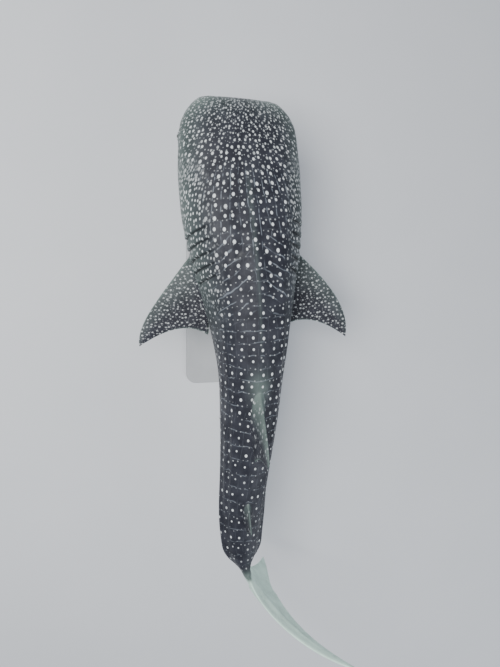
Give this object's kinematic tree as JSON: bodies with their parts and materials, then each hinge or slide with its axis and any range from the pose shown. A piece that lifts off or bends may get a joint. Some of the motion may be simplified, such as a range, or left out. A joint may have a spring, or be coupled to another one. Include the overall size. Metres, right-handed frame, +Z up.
{
  "type": "whale shark display model",
  "caption": "Life-size whale shark swimming with its tail swept aside, a broad flat head and spotted grey skin, held on a flat display stand by short rods.",
  "frame": {"origin": "centre of the stand base's underside, on the floor, below the animal's balance point", "axes": "+X forward to the snout, +Y to the animal's left, +Z up"},
  "size_m": [5.3394, 2.1183, 2.18],
  "materials": {
    "skin": "satin dark grey skin with pale spots and a white belly",
    "fin_skin": "satin dark grey skin with small pale spots",
    "tail_fin_skin": "satin pale green-grey skin",
    "eye": "wet gloss, dark",
    "stand_paint": "satin grey paint",
    "stand_steel": "brushed"
  },
  "bodies": {
    "root": {"head": "skin", "lower_jaw": "skin", "gill_region": "skin", "trunk": "skin", "tail": "skin", "pectoral_fin_left": "fin_skin", "pectoral_fin_right": "fin_skin", "pelvic_fin_left": "fin_skin", "pelvic_fin_right": "fin_skin", "first_dorsal_fin": "fin_skin", "second_dorsal_fin": "fin_skin", "anal_fin": "fin_skin", "caudal_fin_upper_lobe": "tail_fin_skin", "caudal_fin_lower_lobe": "tail_fin_skin", "eye_left": "eye", "eye_right": "eye", "stand_base": "stand_paint", "stand_rod_front": "stand_steel", "stand_rod_rear": "stand_steel"}
  },
  "joints": []
}
